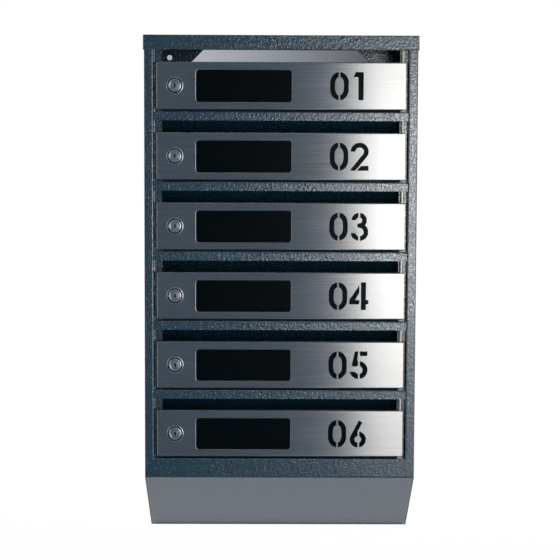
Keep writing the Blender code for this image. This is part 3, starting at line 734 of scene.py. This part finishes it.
def door_pan(row, settings):
    """Folded pan with window, number, lock hole and rod ears."""
    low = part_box(f"door_{row:02d}")[0]
    pan = bare_pan(row, settings)
    front, back = low.y - PAST, low.y + settings.sheet + BEHIND_SHEET
    left, foot = low.x + settings.window_in, low.z + settings.window_up
    right, top = left + settings.window_width, foot + settings.window_height
    cut(pan, block("window", (left, front, foot), (right, back, top), settings.window_radius,
                   segments=8))
    cut(pan, number_tool(row, settings, front, back))
    cut(pan, lock_hole_tool(row, settings, front, back))
    for tool in hinge_tools(row, settings):
        cut(pan, tool)
    pan = applied(pan)
    roll_window_edge(pan.data, low.y, left, right, settings.rolled_edge)
    round_edges(pan, settings.edge)
    pan = applied(pan)
    brushing_map(pan.data)
    return pan


# Operators, one for each piece or group of like pieces
class MAILBOX_OT_carcass(bpy.types.Operator):
    """Coat the folded carcass with wrinkle paint"""
    bl_idname = "mailbox.carcass"
    bl_label = "Paint the carcass"

    def execute(self, context):
        coat(wrinkle_powder_coat(context.scene.mailbox_finish), *PAINTED)
        return {"FINISHED"}


class MAILBOX_OT_doors(bpy.types.Operator):
    """Fold the six stainless doors, with their windows and stencil numbers"""
    bl_idname = "mailbox.doors"
    bl_label = "Make the doors"

    def execute(self, context):
        steel = brushed_stainless(context.scene.mailbox_finish)
        for row in ROWS:
            pan = door_pan(row, context.scene.mailbox_doors)
            dress(pan, steel, f"door_leaf_{row:02d}", "brushed_stainless", f"door_{row:02d}")
        return {"FINISHED"}


class MAILBOX_OT_panes(bpy.types.Operator):
    """Give the panes their smoked acrylic"""
    bl_idname = "mailbox.panes"
    bl_label = "Finish the panes"

    def execute(self, context):
        acrylic = smoked_acrylic(context.scene.mailbox_finish)
        coat(acrylic, *[f"smoked_pane_{row:02d}" for row in ROWS])
        return {"FINISHED"}


class MAILBOX_OT_locks(bpy.types.Operator):
    """Turn the lock bezels, the key plugs and the cam screws"""
    bl_idname = "mailbox.locks"
    bl_label = "Make the locks"

    def execute(self, context):
        finish = context.scene.mailbox_finish
        sizes = context.scene.mailbox_locks
        steps = context.scene.mailbox_stage.round_steps
        plating = worked_metal("satin_nickel_plating", finish.chrome, roughness=0.18, grain=2.5 * MM)
        # Painted shade: a dark, dull metal for the hollows of the lock
        recess_shade = worked_metal("recess_shade_metal", finish.recess_shade, roughness=0.60, grain=1.5 * MM)
        zinc = worked_metal("zinc_plated_steel", finish.steel, roughness=0.30, grain=1.5 * MM)
        for row in ROWS:
            self.body(row, sizes, plating, recess_shade, steps)
            self.plug(row, sizes, plating, recess_shade, steps)
            coat(zinc, f"lock_nut_{row:02d}", f"lock_cam_{row:02d}")
            self.screw(row, sizes, zinc, steps)
        return {"FINISHED"}

    def darken(self, obj, material, inside):
        """Give the faces whose middle passes a test a second material."""
        obj.data.materials.append(material)
        for polygon in obj.data.polygons:
            if inside(polygon.center):
                polygon.material_index = 1

    def body(self, row, sizes, material, recess_shade, steps):
        """Bezel with a rounded rim, a groove and a crowned ring, on a barrel with two flats."""
        axis = JOINT_POINT[f"key_turn_{row:02d}"]
        low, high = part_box(f"lock_body_{row:02d}")
        top = axis.y - low.y
        rear = axis.y - high.y
        rim = (high.x - low.x) / 2
        rise = sizes.seat + sizes.rim_height
        outer = rim - sizes.groove_in
        inner = outer - sizes.groove_width
        floor = rise - sizes.groove_depth
        rim_centre = (rim - sizes.rim_round, rise - sizes.rim_round)
        crown_centre = (inner - sizes.crown, top - sizes.crown)
        bore_centre = (sizes.bore + sizes.bore_round, top - sizes.bore_round)
        profile = [(sizes.bore, rear), (sizes.barrel, rear), (sizes.barrel, sizes.seat),
                   (rim - sizes.rim_foot, sizes.seat), (rim, sizes.seat + sizes.rim_foot),
                   *round_arc(rim_centre, sizes.rim_round, 0, 90),
                   (outer, rise), (outer - sizes.groove_slant, floor),
                   (inner + sizes.groove_slant, floor), (inner, top - sizes.crown),
                   *round_arc(crown_centre, sizes.crown, 10, 90),
                   *round_arc(bore_centre, sizes.bore_round, 90, 180), (sizes.bore, rear)]
        bezel = turned(f"lock_bezel_{row:02d}", profile, axis, OUTWARD, steps)
        reach = rim + PAST
        for side in (-1, 1):
            ends = sorted((axis.x + side * sizes.flats, axis.x + side * reach))
            cut(bezel, block(f"flat_{side}", (ends[0], axis.y - sizes.seat / 2, axis.z - reach),
                             (ends[1], high.y + PAST, axis.z + reach), TOOL_EDGE, segments=1))
        bezel = applied(bezel)
        dress(bezel, material, f"door_leaf_{row:02d}", "plated_zinc", f"lock_body_{row:02d}")
        near = 0.05 * MM
        # Painted shade: the floor of the groove gets the dark metal
        self.darken(bezel, recess_shade, lambda spot: abs(axis.y - spot.y - floor) < near)

    def plug(self, row, sizes, material, recess_shade, steps):
        """Key plug with a rounded key slot and the square tail that carries the cam."""
        axis = JOINT_POINT[f"key_turn_{row:02d}"]
        low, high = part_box(f"lock_plug_{row:02d}")
        cam_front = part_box(f"lock_cam_{row:02d}")[0].y
        face = axis.y - low.y
        radius = (high.x - low.x) / 2
        shoulder = axis.y - cam_front + sizes.shoulder_gap
        profile = [(0.0, shoulder), (radius, shoulder), (radius, face - sizes.plug_edge),
                   (radius - sizes.plug_edge, face), (0.0, face)]
        plug = turned(f"key_plug_{row:02d}", profile, axis, OUTWARD, steps)
        tail_front = axis.y - shoulder - sizes.tail_overlap
        tail = block(f"tail_{row:02d}", (axis.x - sizes.tail, tail_front, axis.z - sizes.tail),
                     (axis.x + sizes.tail, high.y, axis.z + sizes.tail), sizes.tail_round, segments=2)
        joined = plug.modifiers.new("tail", "BOOLEAN")
        joined.operation = "UNION"
        joined.object = tail
        half = sizes.keyway_width / 2
        top = sizes.keyway_height / 2
        floor = low.y + sizes.keyway_depth
        slot = [*round_arc((axis.x, axis.z + top - half), half, 0, 180),
                *round_arc((axis.x, axis.z - top + half), half, 180, 360)]
        cut(plug, prism("keyway", [slot], low.y - PAST, floor))
        plug = applied(plug)
        round_edges(plug, sizes.keyway_round, above=60.0)
        plug = applied(plug)
        dress(plug, material, f"lock_{row:02d}", "plated_zinc", f"lock_plug_{row:02d}")
        mouth = low.y + sizes.keyway_round
        near = 0.1 * MM
        spare = 1.1
        # Painted shade: the walls of the key slot get the dark metal
        self.darken(plug, recess_shade, lambda spot: mouth < spot.y < floor + near
                    and abs(spot.x - axis.x) < spare * half and abs(spot.z - axis.z) < spare * top)

    def screw(self, row, sizes, material, steps):
        """Domed screw with a cross slot that holds the cam on the tail."""
        axis = JOINT_POINT[f"key_turn_{row:02d}"]
        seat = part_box(f"lock_plug_{row:02d}")[1].y
        head = sizes.screw_height
        radius = sizes.screw_radius
        straight = 0.4 * head
        dome = head - straight
        profile = [(0.0, 0.0), (radius, 0.0), (radius, straight),
                   *[(radius * c, straight + dome * s) for c, s in round_arc((0, 0), 1, 10, 80)],
                   (0.0, head)]
        screw = turned(f"cam_screw_{row:02d}", profile, (axis.x, seat, axis.z), INWARD, steps)
        slots = {"slot_level": (sizes.cross_reach, sizes.cross_half),
                 "slot_upright": (sizes.cross_half, sizes.cross_reach)}
        for name, (wide, tall) in slots.items():
            cut(screw, block(name, (axis.x - wide, seat + head - sizes.cross_depth, axis.z - tall),
                             (axis.x + wide, seat + head + PAST, axis.z + tall), TOOL_EDGE, segments=1))
        screw = applied(screw)
        dress(screw, material, f"lock_{row:02d}", "bright_steel")


class MAILBOX_OT_hinge(bpy.types.Operator):
    """Turn the hinge rod and its washers"""
    bl_idname = "mailbox.hinge"
    bl_label = "Make the hinge"

    def execute(self, context):
        finish = context.scene.mailbox_finish
        sizes = context.scene.mailbox_hinge
        steps = context.scene.mailbox_stage.round_steps
        drawn = worked_metal("drawn_steel_rod", finish.steel, roughness=0.24, grain=4.0 * MM)
        nylon = moulded_nylon(finish)
        axis = JOINT_POINT["door_swing_01"]
        low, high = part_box("hinge_rod")
        radius = (high.x - low.x) / 2
        tall = high.z - low.z
        edge = sizes.rod_edge
        profile = [(0.0, 0.0), (radius - edge, 0.0), (radius, edge), (radius, tall - edge),
                   (radius - edge, tall), (0.0, tall)]
        rod = turned("hinge_rod_turned", profile, (axis.x, axis.y, low.z), UPWARD, steps)
        dress(rod, drawn, "cabinet", "bright_steel", "hinge_rod")
        for row in ROWS:
            self.washer(row, sizes, radius + sizes.washer_gap, nylon, steps)
        return {"FINISHED"}

    def washer(self, row, sizes, bore, material, steps):
        """Spacer on the rod under a door."""
        axis = JOINT_POINT["door_swing_01"]
        low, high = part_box(f"hinge_washer_{row:02d}")
        outer = (high.x - low.x) / 2
        tall = high.z - low.z
        edge = sizes.washer_edge
        ring = [(bore, 0.0), (outer - edge, 0.0), (outer, edge), (outer, tall - edge),
                (outer - edge, tall), (bore, tall), (bore, 0.0)]
        washer = turned(f"spacer_{row:02d}", ring, (axis.x, axis.y, low.z), UPWARD, steps)
        dress(washer, material, "cabinet", "pale_nylon", f"hinge_washer_{row:02d}")


class MAILBOX_OT_stage(bpy.types.Operator):
    """Set up the floor, the studio light and the camera"""
    bl_idname = "mailbox.stage"
    bl_label = "Set the stage"

    def execute(self, context):
        settings = context.scene.mailbox_stage
        self.floor(settings)
        self.flags()
        self.wall(settings)
        self.lamp(settings)
        self.surroundings(context, settings)
        self.camera(context, settings)
        context.scene.view_settings.view_transform = "Standard"
        return {"FINISHED"}

    def plane(self, name, width, tall, matrix, material):
        """Flat piece of the studio."""
        bm = bmesh.new()
        bmesh.ops.create_grid(bm, x_segments=1, y_segments=1, size=0.5,
                              matrix=matrix @ Matrix.Diagonal((width, tall, 1.0, 1.0)))
        obj = to_object(name, bm)
        obj.data.materials.append(material)
        return obj

    def floor(self, settings):
        """Wide floor far below the unit."""
        place = Matrix.Translation((0.0, 0.0, CAD_BOX[0].z - settings.floor_drop))
        self.plane("floor", settings.floor_size, settings.floor_size, place, pale_floor(settings))

    def flags(self):
        """Felts around the unit and the camera that the eye doesn't see."""
        felts = {name: felt(name, code, lift) for name, (code, lift) in FELTS.items()}
        for flag in FLAGS:
            place = Matrix.Translation(flag.at)
            if flag.upright:
                place = place @ UPRIGHT
            obj = self.plane(flag.name, flag.width, flag.tall, place, felts[flag.felt])
            obj.visible_camera = False
            if flag.gloss_only:
                obj.visible_diffuse = False
                obj.visible_shadow = False

    def wall(self, settings):
        """Shaded wall close behind the unit."""
        place = Matrix.Translation((0.0, CAD_BOX[1].y + settings.wall_gap, settings.wall_middle))
        self.plane("shaded_wall", settings.wall_width, settings.wall_height, place @ UPRIGHT,
                   shaded_wall(settings))

    def lamp(self, settings):
        """Softbox to the right of the camera, whose edge makes the fade across the doors."""
        data = bpy.data.lights.new("softbox", "AREA")
        data.shape = "RECTANGLE"
        data.size = settings.lamp_width
        data.size_y = settings.lamp_height
        data.energy = settings.lamp_power
        lamp = link_object("softbox", data)
        lamp.location = settings.lamp_at
        aim = Vector(settings.lamp_aim) - lamp.location
        lamp.rotation_euler = aim.to_track_quat("-Z", "Y").to_euler()
        lamp.visible_camera = False

    def surroundings(self, context, settings):
        """White studio: full white to the eye, to gloss and through glass, softer as fill."""
        world = bpy.data.worlds.new("white_studio")
        world.use_nodes = True
        tree = world.node_tree
        background = tree.nodes["Background"]
        level = remap(tree, seen_directly(tree), (0.0, 1.0), (settings.fill, 1.0))
        background.inputs["Color"].default_value = WHITE
        tree.links.new(level, background.inputs["Strength"])
        context.scene.world = world

    def camera(self, context, settings):
        """Camera a little above the middle of the unit, looking slightly down."""
        data = bpy.data.cameras.new("camera")
        data.lens = settings.lens
        data.sensor_width = settings.film_width
        camera = link_object("camera", data)
        camera.matrix_world = (Matrix.Translation(settings.camera_at)
                               @ Matrix.Rotation(-settings.yaw, 4, "Z")
                               @ Matrix.Rotation(math.pi / 2 - settings.pitch, 4, "X")
                               @ Matrix.Rotation(settings.roll, 4, "Z"))
        context.scene.camera = camera


class MAILBOX_PT_panel(bpy.types.Panel):
    """List of the steps that dress the unit"""
    bl_idname = "MAILBOX_PT_panel"
    bl_label = "Mailbox unit"
    bl_space_type = "VIEW_3D"
    bl_region_type = "UI"
    bl_category = "Mailbox"

    def draw(self, context):
        for operator in OPERATORS:
            self.layout.operator(operator.bl_idname)


SETTINGS = {
    "mailbox_doors": MailboxDoorSettings,
    "mailbox_locks": MailboxLockSettings,
    "mailbox_hinge": MailboxHingeSettings,
    "mailbox_finish": MailboxFinishSettings,
    "mailbox_stage": MailboxStageSettings,
}
OPERATORS = [MAILBOX_OT_carcass, MAILBOX_OT_doors, MAILBOX_OT_panes, MAILBOX_OT_locks,
             MAILBOX_OT_hinge, MAILBOX_OT_stage]


def register():
    """Add the settings, the operators and the panel."""
    for cls in [*SETTINGS.values(), *OPERATORS, MAILBOX_PT_panel]:
        bpy.utils.register_class(cls)
    for name, cls in SETTINGS.items():
        setattr(bpy.types.Scene, name, PointerProperty(type=cls))


def unregister():
    """Take them away again."""
    for name in SETTINGS:
        delattr(bpy.types.Scene, name)
    for cls in [MAILBOX_PT_panel, *reversed(OPERATORS), *reversed(SETTINGS.values())]:
        bpy.utils.unregister_class(cls)


def main():
    """Dress the unit and set the stage."""
    register()
    bpy.ops.mailbox.carcass()
    bpy.ops.mailbox.doors()
    bpy.ops.mailbox.panes()
    bpy.ops.mailbox.locks()
    bpy.ops.mailbox.hinge()
    bpy.ops.mailbox.stage()


if __name__ == "__main__":
    main()
